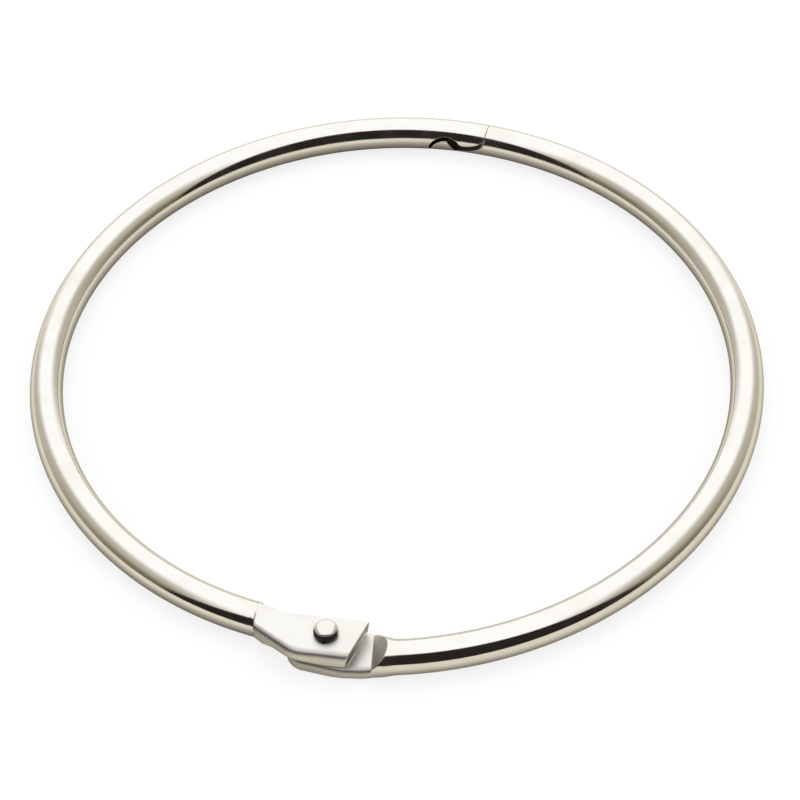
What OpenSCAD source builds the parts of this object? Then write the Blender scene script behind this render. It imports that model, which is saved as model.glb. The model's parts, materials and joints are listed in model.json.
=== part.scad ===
// Hinged wire ring for loose sheets: two half rings of round wire, coined flat and
// riveted together at one end, and closed at the other by a hooked lap latch.
// The ring lies flat: +Z up, hinge towards -Y, latch towards +Y, millimetres.

/* [Ring] */
// Clear diameter inside the catch half's bend
inner_d = 76.2; // [60:0.1:90]
// Diameter of the round wire
wire_d = 3.8; // [3.4:0.05:4.2]
// Extra bend radius of the tongue half, which is sprung a little wider
spring_out = 1.5; // [0.8:0.1:2.0]

/* [Hinge tabs] */
// Distance of the rivet axis from the centre of the catch half's bend
hinge_reach = 41.9; // [41.5:0.1:42.3]
// Half width of the upper tab, which the catch half carries
upper_half_w = 2.6; // [2.3:0.05:2.8]
// Half width of the lower tab, which the tongue half carries
lower_half_w = 2.8; // [2.5:0.05:3.0]
// Offset of the lower tab's middle from the rivet, away from the ring's centre
lower_offset = 0.15; // [0:0.05:0.3]
// Air gap between the two tabs
tab_gap = 0.1; // [0.06:0.02:0.16]
// Depth of the upper tab's flat top face below the top of the wire
top_step = 0.05; // [0.02:0.01:0.1]
// Rounding of a tab's lower edges, left by the squeezed wire
lower_round = 0.6; // [0.3:0.05:0.8]
// Rounding of a tab's upper edges
upper_round = 0.25; // [0.15:0.05:0.4]
// Centre of the lower tab's round end, measured from the rivet
lower_end = 1.5; // [1.2:0.1:1.8]
// Foot of the sloped shoulder on the tongue half, measured from the rivet
ramp_foot = 5; // [4.9:0.1:5.4]
// Slope of the shoulder on the tongue half
ramp_angle = 48; // [40:1:58]
// Bend of the upper tab, measured from the rivet
bend_reach = 2.9; // [2.6:0.1:3.1]
// Angle at which the neck of the upper tab steps outwards from the wire
neck_angle = 31; // [27:1:34]
// Half width of the neck between the wire and the upper tab
neck_half_w = 1.85; // [1.7:0.05:2.0]
// Line where the round wire of the catch half turns flat, measured from the rivet
flat_start = 7.9; // [7.6:0.1:8.2]
// Foot of the undercut below the neck, measured from the rivet
undercut_foot = 6.7; // [6.3:0.1:7.0]
// Slope of the undercut below the neck
undercut_angle = 48; // [40:1:58]
// Reach of the upper tab's slanted end on its middle line
tab_end = 3.6; // [3.3:0.1:3.8]
// Slant of the upper tab's end
tab_end_slant = 17; // [8:1:20]

/* [Rivet] */
// Diameter of the rivet's button head
head_d = 2.75; // [2.4:0.05:3.0]
// Height of the button head
head_h = 1.15; // [0.8:0.05:1.4]
// Rounding of the button head's rim
head_round = 0.4; // [0.2:0.05:0.5]
// Diameter of the rivet's shank
shank_d = 1.8; // [1.5:0.05:2.0]
// Diameter of the countersunk tail at the lower face
tail_d = 3.0; // [2.6:0.05:3.2]
// Height of the countersink
tail_h = 0.8; // [0.6:0.05:1.0]
// Radial running clearance of the lower tab on the rivet
clearance = 0.05; // [0.03:0.01:0.08]
// Depth of the tail's face inside the countersink
tail_sink = 0.05; // [0.03:0.01:0.1]

/* [Latch] */
// Direction of the butt joint seen from the centre of the bend
latch_angle = 81.8; // [80:0.1:84]
// Air gap at the butt joint
butt_gap = 0.1; // [0.06:0.01:0.2]
// Height of the butt face above the wire's middle, where the tongue's slope starts
butt_drop = 1.43; // [1.3:0.01:1.5]
// Slope of the tongue and of the hook above it
slope_angle = 35; // [33:1:37]
// Steepness of the nub's catching flank
flank_angle = 58; // [54:1:64]
// Radius of the valley in front of the nub
valley_r = 0.5; // [0.4:0.05:0.6]
// Depth of the valley's floor below the wire's middle
valley_depth = 0.93; // [0.85:0.01:1.0]
// Radius of the hook's round tip
hook_r = 0.9; // [0.8:0.05:1.0]
// Distance of the hook's tip centre from the butt joint
hook_reach = 2.95; // [2.85:0.05:3.05]
// Height of the hook's tip centre above the wire's middle
hook_height = 0.95; // [0.9:0.05:1.0]
// Radius of the tongue's round nub
nub_r = 2.12; // [2.05:0.01:2.2]
// Distance of the nub's centre from the butt joint
nub_reach = 4.95; // [4.85:0.05:5.05]
// Depth of the nub's centre below the wire's middle
nub_depth = 1.5; // [1.4:0.05:1.6]
// Air gap between the nub and the notch above it
notch_gap = 0.38; // [0.3:0.01:0.45]

/* [Hidden] */
$fn = 96;
HULL_FN = 32;
NICKEL = [0.80, 0.78, 0.74];
NICKEL_DULL = [0.66, 0.64, 0.60];

wire_r = wire_d / 2;
catch_bend_r = inner_d / 2 + wire_r;
tongue_bend_r = catch_bend_r + spring_out;
// The two bends are tangent at the latch, so their centres differ along its direction
tongue_centre = -spring_out * [cos(latch_angle), sin(latch_angle)];

// Heights measured from the wire's middle plane, where the two tabs meet
lower_top = -tab_gap / 2;
upper_bottom = tab_gap / 2;
upper_top = wire_r - top_step;

// Middle of the finished part's footprint, which becomes the origin
footprint_x = (tongue_centre.x + tongue_bend_r - catch_bend_r) / 2;
footprint_back = tongue_centre.y + tongue_bend_r + wire_r;
footprint_front = -(hinge_reach + lower_offset + lower_half_w);
footprint_y = (footprint_back + footprint_front) / 2;

// The neck's edges where the round wire turns flat, measured across from the rivet
neck_outer_y = (flat_start - bend_reach) * tan(neck_angle) - upper_half_w / cos(neck_angle);
neck_span = 2 * neck_half_w / cos(neck_angle);

overrun = 4;             // how far a cutting tool runs past the metal
slice_t = 0.1;           // thickness of the slices that a blend is stretched between
blend_inset = 0.04;      // how far a blend's own surface lies inside what it joins
shoulder_run = 0.8 * wire_d; // length in which the lower tab turns into round wire
slope_start = 2 * butt_gap;  // where the hook's slope starts, past the butt joint
hook_side = 0.8 * hook_r;    // how far past its centre the hook's tip is undercut
tip_proud = 0.03;        // how far the hook's round tip stands proud of its slope
edge_crisp = 1.04;       // makes a rounded edge meet its faces at a slight angle
nub_spare = 1;           // wire left beyond the nub before its outline is cut

// The valley touches the slope that starts at the foot of the butt face
function valley_x() =
    (valley_r - (valley_r - valley_depth - butt_drop) * cos(slope_angle)) / sin(slope_angle);

// Where a straight line at x crosses the middle line of a bend, on the hinge side
function bend_y(x, centre, r) = centre.y - sqrt(r * r - (x - centre.x) * (x - centre.x)) + hinge_reach;
function bend_angle(x, centre, r) = 270 + asin((x - centre.x) / r);

// Angle of a length along a bend
function arc_angle(length, r) = length / r * 180 / PI;

// ---------- placement ----------

module in_part_frame() {
    translate([-footprint_x, -footprint_y, wire_r]) children();
}

module at_hinge() {
    translate([0, -hinge_reach, 0]) children();
}

// Turns a profile drawn in (distance along the tongue, height) into a radial cut
module latch_cut() {
    translate(catch_bend_r * [cos(latch_angle), sin(latch_angle), 0])
        rotate([90, 0, latch_angle + 90])
            linear_extrude(height = 2 * overrun, center = true)
                children();
}

// ---------- shared forms ----------

module wire_arc(centre, bend_r, from, to) {
    translate(centre)
        rotate([0, 0, from])
            rotate_extrude(angle = to - from)
                translate([bend_r, 0])
                    circle(r = wire_r);
}

// Cross-section of coined wire: flat faces, well rounded below and crisp above
module coined_section(half_w, low, high) {
    translate([-half_w, low + lower_round])
        square([2 * half_w, high - low - lower_round - upper_round]);
    translate([-half_w + lower_round, low])
        square([2 * (half_w - lower_round), lower_round]);
    translate([-half_w + upper_round, high - upper_round])
        square([2 * (half_w - upper_round), upper_round]);
    for (side = [-1, 1]) {
        translate([side * (half_w - lower_round), low + lower_round])
            circle(r = lower_round);
        translate([side * (half_w - upper_round), high - upper_round])
            circle(r = upper_round);
    }
}

// A straight coined bar along +X from the origin
module coined_bar(length, half_w, low, high) {
    rotate([90, 0, 90])
        linear_extrude(height = length)
            coined_section(half_w, low, high);
}

// A round coined end, or the outside of a bend
module coined_end(half_w, low, high) {
    rotate_extrude()
        intersection() {
            coined_section(half_w, low, high);
            translate([0, low])
                square([half_w, high - low]);
        }
}

// A thin slice of coined wire, standing across X
module coined_slice(half_w, low, high) {
    coined_bar(slice_t, half_w, low, high, $fn = HULL_FN);
}

// A thin slice of the round wire, standing across X
module wire_slice(x, centre, bend_r) {
    translate([x, bend_y(x, centre, bend_r), 0])
        rotate([0, 90, 0])
            cylinder(r = wire_r - blend_inset, h = slice_t, $fn = HULL_FN);
}

// ---------- catch half ----------

// The upper tab seen from above, with its neck; the bend between them is a true arc
module upper_tab_plan() {
    slant = upper_half_w * tan(tab_end_slant);
    polygon([
        [tab_end - slant, -upper_half_w],
        [-bend_reach, -upper_half_w],
        [-bend_reach, 0],
        [-bend_reach - upper_half_w * sin(neck_angle), -upper_half_w * cos(neck_angle)],
        [-flat_start, neck_outer_y],
        [-flat_start, neck_outer_y + neck_span],
        [-flat_start + (neck_outer_y + neck_span - upper_half_w) / tan(neck_angle), upper_half_w],
        [tab_end + slant, upper_half_w]
    ]);
    translate([-bend_reach, 0])
        circle(r = upper_half_w);
}

// Takes the sharp edge off a bar that lies along +X, with its metal towards +Y and +Z
module edge_tool(length, r) {
    rotate([90, 0, 90])
        linear_extrude(height = length)
            edge_profile(r);
}

module edge_profile(r) {
    difference() {
        translate([-r, -r])
            square(2 * r);
        translate([r, r])
            circle(r = r * edge_crisp);
    }
}

// Rounds the outer edge all along the neck, the bend and the tab
module outer_edge_tool(r) {
    translate([-bend_reach, -upper_half_w, 0])
        edge_tool(bend_reach + tab_end, r);
    translate([-bend_reach, 0, 0]) {
        rotate([0, 0, -90 - neck_angle])
            rotate_extrude(angle = neck_angle)
                translate([upper_half_w, 0])
                    mirror([1, 0])
                        edge_profile(r);
        rotate([0, 0, -neck_angle])
            translate([-2 * bend_reach, -upper_half_w, 0])
                edge_tool(2 * bend_reach, r);
    }
}

module upper_tab() {
    difference() {
        translate([0, 0, upper_bottom])
            linear_extrude(height = upper_top - upper_bottom)
                upper_tab_plan();
        translate([0, 0, upper_bottom])
            outer_edge_tool(lower_round);
        translate([0, 0, upper_top])
            mirror([0, 0, 1])
                outer_edge_tool(upper_round);
    }
}

// Where the round wire swells to the width of the flattened neck
module neck_blend() {
    neck_middle_y = neck_outer_y + neck_span / 2;
    hull() {
        wire_slice(-flat_start - wire_r, [0, 0], catch_bend_r);
        for (x = [-flat_start, -undercut_foot])
            translate([x, neck_middle_y - (flat_start + x) * tan(neck_angle), 0])
                coined_slice(neck_span / 2 - blend_inset, -tab_gap, upper_top - blend_inset);
    }
}

// Everything that the coining die takes away around the upper tab
module upper_tab_relief() {
    // above the flat face
    translate([-flat_start, -2 * overrun, upper_top])
        cube([flat_start + 2 * overrun, 4 * overrun, overrun]);
    // below the neck and the tab
    translate([0, 2 * overrun, 0])
        rotate([90, 0, 0])
            linear_extrude(height = 4 * overrun)
                polygon([
                    [-undercut_foot, upper_bottom],
                    [-undercut_foot - (overrun + upper_bottom) / tan(undercut_angle), -overrun],
                    [2 * overrun, -overrun],
                    [2 * overrun, upper_bottom]
                ]);
}

// The space that the notch and the sloped underside leave for the tongue
module notch_profile() {
    slope_r = hook_r - tip_proud;
    slope_foot = [hook_reach, hook_height] - slope_r * [sin(slope_angle), cos(slope_angle)];
    slope_top = slope_foot.y + (slope_foot.x - slope_start) * tan(slope_angle);
    difference() {
        union() {
            polygon([
                [-overrun, -overrun],
                [-overrun, slope_top],
                [slope_start, slope_top],
                slope_foot,
                [hook_reach + hook_side, hook_height],
                [hook_reach + hook_side, -overrun]
            ]);
            translate([nub_reach, -nub_depth])
                circle(r = nub_r + notch_gap);
        }
        translate([hook_reach, hook_height])
            circle(r = hook_r);
    }
}

module catch_half() {
    butt_end = latch_angle + arc_angle(butt_gap, catch_bend_r);
    flat_end = bend_angle(-undercut_foot, [0, 0], catch_bend_r);
    color(NICKEL)
        in_part_frame()
            difference() {
                union() {
                    wire_arc([0, 0], catch_bend_r, butt_end, flat_end);
                    at_hinge() upper_tab();
                    at_hinge() neck_blend();
                }
                at_hinge() upper_tab_relief();
                at_hinge() cylinder(d = shank_d, h = 2 * overrun, center = true);
                latch_cut() notch_profile();
            }
}

// ---------- tongue half ----------

module lower_tab() {
    translate([0, -lower_offset, 0]) {
        translate([-lower_end, 0, 0])
            coined_bar(lower_end + ramp_foot, lower_half_w, -wire_r, lower_top);
        translate([-lower_end, 0, 0])
            coined_end(lower_half_w, -wire_r, lower_top);
    }
}

// Where the flat tab narrows and rises into the round wire
module shoulder_blend() {
    hull() {
        wire_slice(ramp_foot + shoulder_run, tongue_centre, tongue_bend_r);
        translate([ramp_foot - 2 * slice_t, -lower_offset, 0])
            coined_slice(lower_half_w - blend_inset, -wire_r + blend_inset, lower_top);
    }
}

// The sloped shoulder and the space for the upper tab above it
module lower_tab_relief() {
    translate([0, 2 * overrun, 0])
        rotate([90, 0, 0])
            linear_extrude(height = 4 * overrun)
                polygon([
                    [ramp_foot, lower_top],
                    [ramp_foot + (overrun - lower_top) / tan(ramp_angle), overrun],
                    [-2 * overrun, overrun],
                    [-2 * overrun, lower_top]
                ]);
}

// Bore and countersink for the rivet, with running clearance
module rivet_seat() {
    seat_r = shank_d / 2 + clearance;
    mouth_r = tail_d / 2 + clearance;
    cylinder(r = seat_r, h = 2 * overrun, center = true);
    translate([0, 0, -wire_r])
        rotate_extrude()
            polygon([
                [0, -overrun],
                [mouth_r, -overrun],
                [mouth_r, 0],
                [seat_r, tail_h],
                [0, tail_h]
            ]);
}

// What is cut away above the tongue: the slope, the valley and the space round the nub
module tongue_profile() {
    valley = [valley_x(), -valley_depth + valley_r];
    slope_touch = valley - valley_r * [sin(slope_angle), cos(slope_angle)];
    flank_touch = valley - valley_r * [-sin(flank_angle), cos(flank_angle)];
    difference() {
        translate([0, -overrun])
            square([nub_reach + nub_r + overrun, 2 * overrun]);
        difference() {
            union() {
                translate([-overrun, -overrun])
                    square([nub_reach + overrun, overrun + butt_drop]);
                translate([nub_reach, -nub_depth])
                    circle(r = nub_r);
            }
            polygon([
                [0, overrun],
                [0, butt_drop],
                slope_touch,
                valley,
                flank_touch,
                flank_touch + overrun * [cos(flank_angle), sin(flank_angle)]
            ]);
            translate(valley)
                circle(r = valley_r);
        }
    }
}

module tongue_half() {
    from = bend_angle(ramp_foot - wire_r, tongue_centre, tongue_bend_r) - 360;
    tip = latch_angle + arc_angle(nub_reach + nub_r + nub_spare, tongue_bend_r);
    color(NICKEL_DULL)
        in_part_frame()
            difference() {
                union() {
                    wire_arc(tongue_centre, tongue_bend_r, from, tip);
                    at_hinge() lower_tab();
                    at_hinge() shoulder_blend();
                }
                at_hinge() lower_tab_relief();
                at_hinge() rivet_seat();
                latch_cut() tongue_profile();
            }
}

// ---------- rivet ----------

module hinge_rivet() {
    shank_r = shank_d / 2;
    tail_r = tail_d / 2;
    head_r = head_d / 2;
    color(NICKEL)
        in_part_frame()
            at_hinge()
                rotate_extrude() {
                    polygon([
                        [0, -wire_r + tail_sink],
                        [tail_r, -wire_r + tail_sink],
                        [shank_r, -wire_r + tail_h],
                        [shank_r, upper_top],
                        [0, upper_top]
                    ]);
                    translate([0, upper_top])
                        square([head_r, head_h - head_round]);
                    translate([0, upper_top])
                        square([head_r - head_round, head_h]);
                    translate([head_r - head_round, upper_top + head_h - head_round])
                        circle(r = head_round);
                }
}

catch_half();
tongue_half();
hinge_rivet();
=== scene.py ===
"""Dresses a hinged binder ring: two half rings of bright nickel-plated wire and their rivet.

The plain stretches of wire are swept by a geometry node tree. The flattened hinge tabs and the
hooked latch are lofted from closed wire sections, so that every edge of them is a real, softly
rounded edge. All sizes in this file are millimetres, unless a name says otherwise; meshes are
scaled to metres when they are made. A pair named span holds the start and the run of a change,
and one named rise holds the two values between which it happens.
"""

from __future__ import annotations

import json
import logging
import math
import sys
from dataclasses import dataclass, replace
from enum import Enum

import bmesh
import bpy
import numpy as np
from mathutils import Matrix, Vector

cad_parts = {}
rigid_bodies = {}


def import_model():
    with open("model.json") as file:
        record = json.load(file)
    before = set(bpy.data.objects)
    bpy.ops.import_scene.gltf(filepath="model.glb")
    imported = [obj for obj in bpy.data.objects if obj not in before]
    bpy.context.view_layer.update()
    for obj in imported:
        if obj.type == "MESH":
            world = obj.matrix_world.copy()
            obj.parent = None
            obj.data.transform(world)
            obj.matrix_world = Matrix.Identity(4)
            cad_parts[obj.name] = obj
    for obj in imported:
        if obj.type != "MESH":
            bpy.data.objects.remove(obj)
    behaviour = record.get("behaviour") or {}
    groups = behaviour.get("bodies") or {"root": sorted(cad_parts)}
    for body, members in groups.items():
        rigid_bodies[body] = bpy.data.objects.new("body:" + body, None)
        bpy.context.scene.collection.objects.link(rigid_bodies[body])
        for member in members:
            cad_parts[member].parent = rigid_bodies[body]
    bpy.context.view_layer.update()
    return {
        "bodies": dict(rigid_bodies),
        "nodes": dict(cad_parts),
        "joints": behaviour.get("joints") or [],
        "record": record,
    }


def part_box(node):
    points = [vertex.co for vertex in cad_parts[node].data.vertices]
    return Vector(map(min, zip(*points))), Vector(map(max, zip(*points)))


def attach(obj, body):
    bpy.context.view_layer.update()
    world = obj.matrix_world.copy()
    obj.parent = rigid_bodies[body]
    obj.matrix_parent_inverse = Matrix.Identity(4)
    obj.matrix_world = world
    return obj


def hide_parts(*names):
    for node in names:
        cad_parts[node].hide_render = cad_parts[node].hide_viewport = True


Array = np.ndarray
Pair = tuple[float, float]
Triple = tuple[float, float, float]
Quad = tuple[float, float, float, float]
Mesh = bpy.types.Mesh
Object = bpy.types.Object
Material = bpy.types.Material
Tree = bpy.types.NodeTree
Node = bpy.types.Node
Socket = bpy.types.NodeSocket

LOG = logging.getLogger("binder_ring")
MM = 0.001
# Direction from the bends' centres to the hinge, and its distance from the catch half's centre.
HINGE_AHEAD = Vector((0.0, -1.0, 0.0))
HINGE_REACH = 41.9
# The gap between the two tabs, and how far the upper one is pressed down below the wire's top.
TAB_GAP = 0.1
TOP_STEP = 0.05
# Turn past which an edge is shown as a corner.
SHARP_ANGLE = math.radians(34.0)

# Vertex attributes that the finishes read.
COINED = "coined"
# The second holds raw cut metal together with painted shade and painted dark reflections, all drawn
# towards one near-black colour.
RAW_CUT_AND_SHADE = "raw_cut"

# A closed section has this many points, counted from the top middle round the outward side.
SIDES = 96
HALF = SIDES // 2
# Points of a half section between which a cut's rounded edge runs, with its corner between them,
# counted from the top middle for a top cut and from the bottom middle for a low one.
TOP_MARKS = (9, 11, 13)
LOW_MARKS = (9, 12, 15)
# Share of a face that the rounded edge beside it may take up.
EDGE_SHARE = 0.45


class Seat(Enum):
    """How a section's flat faces are drawn."""

    PLANE = "the metal is cut off along the plane"
    MARK = "the metal is whole, and only the mesh lines follow the plane"


def ease(value: float, start: float = 0.0, run: float = 1.0) -> float:
    """Returns how far a value has come over a run, from 0 to 1 with soft ends."""
    t = min(max((value - start) / run, 0.0), 1.0)
    return t * t * (3.0 - 2.0 * t)


def between(start: float, end: float, share: float) -> float:
    """Returns the value that lies at a share of the way from start to end."""
    return start + (end - start) * share


def rounded(start: Array, corner: Array, end: Array, count: int) -> Array:
    """Returns points on the curve from start to end that a corner draws towards itself."""
    t = np.linspace(0.0, 1.0, count)[:, None]
    return (1 - t) ** 2 * start + 2 * t * (1 - t) * corner + t * t * end


@dataclass(frozen=True)
class Cut:
    """A level plane that takes metal off a wire section, from above or from below.

    The edge is the rounding beside it, which inner_edge replaces on the side towards the ring's
    centre. With a hold below 1 the section's points follow the plane only in part.
    """

    height: float
    edge: float
    seat: Seat = Seat.PLANE
    hold: float = 1.0
    inner_edge: float | None = None

    def edge_on(self, side: float) -> float:
        """Returns the rounding on the outward side (1) or on the inward one (-1)."""
        return self.edge if side > 0 or self.inner_edge is None else self.inner_edge


class Profile:
    """One side of a wire section before it is cut: its reach in every direction from the middle."""

    ANGLES = np.linspace(math.pi / 2, -math.pi / 2, 1441)
    TURN_STEPS = 3001
    # An oval off the middle is drawn on past its top and bottom, up to this turn.
    OVAL_TURN = 2.2
    CORNER_STEPS = 24
    CORNER_SHARE = 0.49
    FACE_STEPS = 30

    def __init__(self, reach: Array) -> None:
        """Holds the reach for each of ANGLES, from straight up to straight down."""
        self.reach = reach

    @classmethod
    def from_line(cls, line: Array) -> Profile:
        """Returns the profile of an outline.

        Args:
            line: (outward, height) points round the middle.

        Returns:
            The profile.
        """
        angle = np.arctan2(line[:, 1], line[:, 0])
        order = np.argsort(angle)
        return cls(np.interp(cls.ANGLES, angle[order], np.hypot(*line.T)[order]))

    @classmethod
    def oval(cls, offset: float, half_w: float, half_h: float) -> Profile:
        """Returns the profile of an oval whose centre lies offset outwards from the middle."""
        turn = np.linspace(cls.OVAL_TURN, -cls.OVAL_TURN, cls.TURN_STEPS)
        return cls.from_line(np.column_stack([offset + half_w * np.cos(turn), half_h * np.sin(turn)]))

    @classmethod
    def dome(cls, half_w: float, half_h: float, sink: float) -> Profile:
        """Returns the profile of an upright wall that arches over to the top.

        Args:
            half_w: How far outwards the wall stands.
            half_h: Height of the top.
            sink: How far below the middle the arch sets in.

        Returns:
            The profile.
        """
        turn = np.linspace(math.pi / 2, -math.pi / 2, cls.TURN_STEPS)
        rise = (half_h + sink) * np.sin(turn) - sink
        return cls.from_line(np.column_stack([half_w * np.cos(np.maximum(turn, 0.0)), rise]))

    @classmethod
    def slab(cls, *corners: Triple) -> Profile:
        """Returns the profile of straight faces with rounded corners.

        Args:
            corners: (outward, height, rounding) from the top to the bottom.

        Returns:
            The profile.
        """
        spots = [(0.0, corners[0][1]), *(corner[:2] for corner in corners), (0.0, corners[-1][1])]
        spots = [np.array(spot) for spot in spots]
        line = [spots[0]]
        for before, spot, after, corner in zip(spots, spots[1:], spots[2:], corners):
            start, end = (
                spot + (to - spot) * min(cls.CORNER_SHARE, corner[2] / np.linalg.norm(to - spot))
                for to in (before, after)
            )
            line.extend(rounded(start, spot, end, cls.CORNER_STEPS))
        line.append(spots[-1])
        shares = np.linspace(0.0, 1.0, cls.FACE_STEPS)
        dense = [between(a, b, t) for a, b in zip(line, line[1:]) for t in shares]
        return cls.from_line(np.array(dense))

    def joined(self, other: Profile) -> Profile:
        """Returns the outline round both profiles."""
        return Profile(np.maximum(self.reach, other.reach))

    def within(self, other: Profile) -> Profile:
        """Returns the outline of what both profiles cover."""
        return Profile(np.minimum(self.reach, other.reach))

    def mixed(self, other: Profile, share: float) -> Profile:
        """Returns the profile that lies at a share of the way to another one."""
        return Profile(between(self.reach, other.reach, share))

    def inset(self, depth: float) -> Profile:
        """Returns the profile drawn in towards the middle."""
        return Profile(self.reach - depth)

    def points(self) -> Array:
        """Returns dense (outward, height) points from the top to the bottom."""
        return np.column_stack([self.reach * np.cos(self.ANGLES), self.reach * np.sin(self.ANGLES)])


class Section:
    """A closed section of wire, cut by a plane from above, from below or by both."""

    def __init__(
        self, outer: Profile, inner: Profile, top: Cut | None = None, low: Cut | None = None
    ) -> None:
        """Works out the section's points, and which of them lie on a cut face.

        Args:
            outer: The side away from the ring's centre, before any cut.
            inner: The side towards the ring's centre.
            top: The plane that the metal lies below.
            low: The plane that the metal lies above.
        """
        self.painted = np.zeros(SIDES)
        outward = self._half(outer, 1.0, top, low)
        inward = self._half(inner, -1.0, top, low)
        self.points = np.vstack([outward, inward[HALF - 1 : 0 : -1]])

    @classmethod
    def wire(cls, wire_r: float, top: Cut | None = None, low: Cut | None = None) -> Section:
        """Returns a section of plain round wire, cut or marked by planes."""
        side = Profile.oval(0.0, wire_r, wire_r)
        return cls(side, side, top, low)

    @staticmethod
    def _reach(over: Array, run: Array) -> float:
        """Finds where an outline first meets a plane.

        Args:
            over: Height of each of its points over the plane.
            run: Distance of each point along the outline.

        Returns:
            The distance along the outline, 0 where it starts below the plane.
        """
        if over[0] <= 0.0:
            return 0.0
        below = int(np.argmax(over <= 0.0))
        share = over[below - 1] / (over[below - 1] - over[below])
        return float(between(run[below - 1], run[below], share))

    def _half(self, profile: Profile, side: float, top: Cut | None, low: Cut | None) -> Array:
        """Works out one half and paints its cut faces.

        Args:
            profile: The half's outline before any cut.
            side: 1 for the outward half, -1 for the inward one.
            top: The plane that the metal lies below.
            low: The plane that the metal lies above.

        Returns:
            The points from the top middle to the bottom middle.
        """
        across, height = profile.points().T
        steps = np.hypot(np.diff(across), np.diff(height))
        run = np.concatenate([[0.0], np.cumsum(steps)])
        total = run[-1]
        knots = {0: 0.0, HALF: total}
        planes = []
        for cut, marks, is_top in ((top, TOP_MARKS, True), (low, LOW_MARKS, False)):
            if cut is None:
                continue
            if is_top:
                reach = self._reach(height - cut.height, run)
            else:
                reach = self._reach(cut.height - height[::-1], total - run[::-1])
            edge = min(cut.edge_on(side), EDGE_SHARE * reach)
            for mark, met in zip(marks, (reach - edge, reach, reach + edge)):
                k, place = (mark, met) if is_top else (HALF - mark, total - met)
                knots[k] = between(total * k / HALF, place, cut.hold)
            if cut.seat is Seat.PLANE and reach > 0.0:
                planes.append((cut, marks, is_top, edge))
        order = sorted(knots)
        spread = np.interp(np.arange(HALF + 1), order, [knots[k] for k in order])
        points = np.column_stack([np.interp(spread, run, line) for line in (side * across, height)])
        for cut, (near, corner, far), is_top, edge in planes:
            view = points if is_top else points[::-1]
            sharp = view[corner].copy()
            face_w = sharp[0] - side * min(edge, EDGE_SHARE * abs(sharp[0]))
            inner = np.array([face_w, cut.height])
            view[near : far + 1] = rounded(inner, sharp, view[far].copy(), far - near + 1)
            view[:near, 0] = face_w * np.arange(near) / near
            view[:near, 1] = cut.height
            flat = np.arange(near + 1) if is_top else np.arange(HALF - near, HALF + 1)
            self.painted[flat if side > 0 else -flat] = 1.0
        return points


@dataclass(frozen=True)
class Bend:
    """A stretch of wire bent to a circle that lies flat."""

    centre: Vector
    radius: float
    middle_z: float

    def place(self, section: Array, ahead: Vector, along: float, turned: float) -> Array:
        """Puts a section on the bend.

        Args:
            section: (across, height) points, where across is positive away from the centre.
            ahead: Unit vector from the centre to the place that along is measured from.
            along: Distance of the section's middle from that place, square to ahead.
            turned: 0 leaves the section's plane parallel to ahead, 1 turns it to the centre.

        Returns:
            An array of points of shape (points, 3).
        """
        reach = self.radius + section[:, 0]
        sideways = between(along, reach * along / self.radius, turned)
        out = np.sqrt(reach**2 - sideways**2)
        x = self.centre.x + out * ahead.x - sideways * ahead.y
        y = self.centre.y + out * ahead.y + sideways * ahead.x
        return np.column_stack([x, y, section[:, 1] + self.middle_z])

    def angle(self, ahead: Vector, along: float) -> float:
        """Returns the direction, in radians, in which a section's middle lies."""
        return math.atan2(ahead.y, ahead.x) + math.asin(along / self.radius)

    def edge_y(self, x: float, offset: float) -> float:
        """Returns the height on the plan of the wire's edge below the centre at a given x."""
        reach = self.radius + offset
        return self.centre.y - math.sqrt(reach**2 - (x - self.centre.x) ** 2)


@dataclass(frozen=True)
class RingFrame:
    """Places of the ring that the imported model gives."""

    hinge: Vector
    wire_r: float
    catch: Bend
    tongue: Bend
    latch_ahead: Vector

    @classmethod
    def from_frame(cls, frame: dict, latch_angle: float) -> RingFrame:
        """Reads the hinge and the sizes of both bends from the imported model.

        Args:
            latch_angle: Direction of the butt joint from the bends' centres, in radians.

        Returns:
            The places, in millimetres.
        """
        hinge = Vector(frame["joints"][0]["pos_m"]) / MM
        catch_low, catch_high = (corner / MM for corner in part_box("catch_half"))
        tongue_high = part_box("tongue_half")[1] / MM
        wire_r = (catch_high.z - catch_low.z) / 2
        centre = Vector((hinge.x, hinge.y + HINGE_REACH, 0.0))
        bend_r = centre.x - catch_low.x - wire_r
        ahead = Vector((math.cos(latch_angle), math.sin(latch_angle), 0.0))
        wider = (tongue_high.x - centre.x - bend_r - wire_r) / (1.0 - ahead.x)
        tongue = Bend(centre - wider * ahead, bend_r + wider, wire_r)
        return cls(hinge, wire_r, Bend(centre, bend_r, wire_r), tongue, ahead)


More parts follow.
